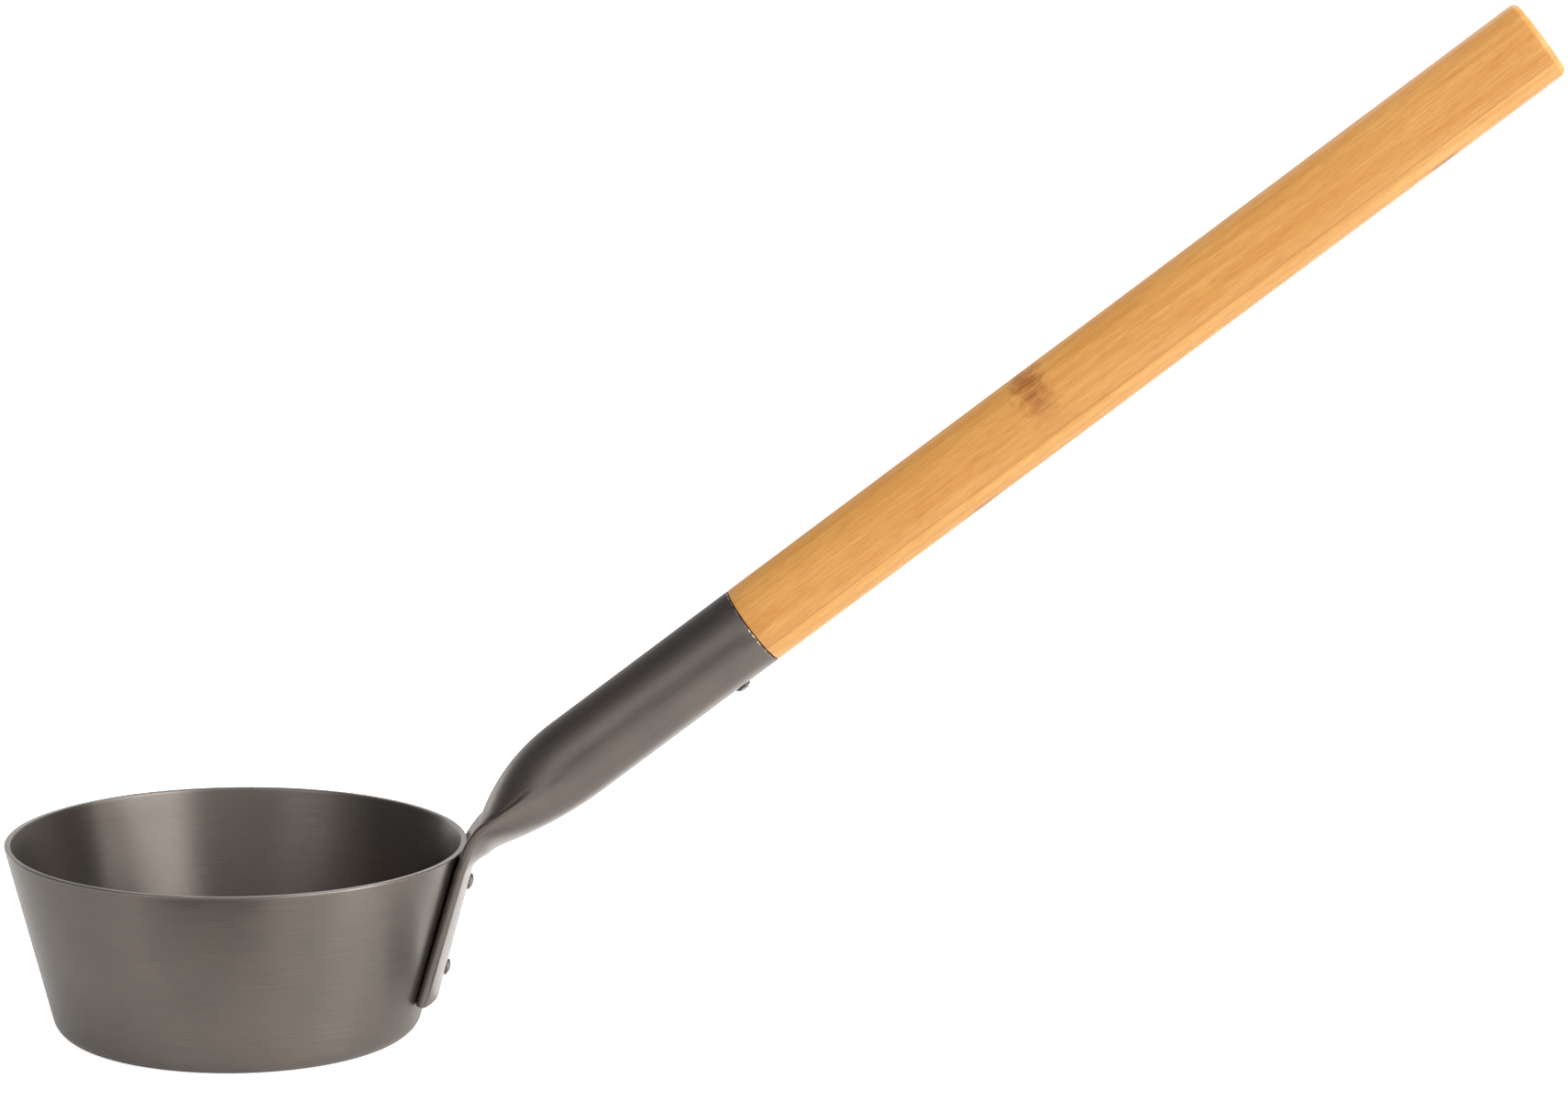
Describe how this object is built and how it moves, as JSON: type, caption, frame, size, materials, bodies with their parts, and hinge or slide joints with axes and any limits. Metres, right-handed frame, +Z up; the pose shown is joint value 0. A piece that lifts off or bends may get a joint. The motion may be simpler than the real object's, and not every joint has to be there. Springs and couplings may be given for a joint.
{
  "type": "ladle",
  "caption": "Ladle with a conical dark aluminium bowl, a pressed tube socket riveted to its wall and a round laminated bamboo handle, for scooping and pouring water.",
  "frame": {"origin": "centre of the bowl's flat underside", "axes": "+Z up along the bowl's axis, +X towards the handle, so the handle lies in the XZ plane"},
  "size_m": [0.4503, 0.1356, 0.3068],
  "materials": {
    "dark_aluminium": "darkened, fine turned brushing, satin",
    "bamboo": "sanded laminated bamboo, thin satin lacquer",
    "rivet_aluminium": "plain satin",
    "stem_steel": "plain drawn wire"
  },
  "bodies": {
    "root": {"bowl": "dark_aluminium", "handle_socket": "dark_aluminium", "handle_ply_1": "bamboo", "handle_ply_2": "bamboo", "handle_ply_3": "bamboo", "handle_ply_4": "bamboo", "bowl_rivet_upper": "rivet_aluminium", "bowl_rivet_lower": "rivet_aluminium", "handle_rivet": "rivet_aluminium", "bowl_rivet_upper_stem": "stem_steel", "bowl_rivet_lower_stem": "stem_steel", "handle_rivet_stem": "stem_steel"}
  },
  "joints": []
}
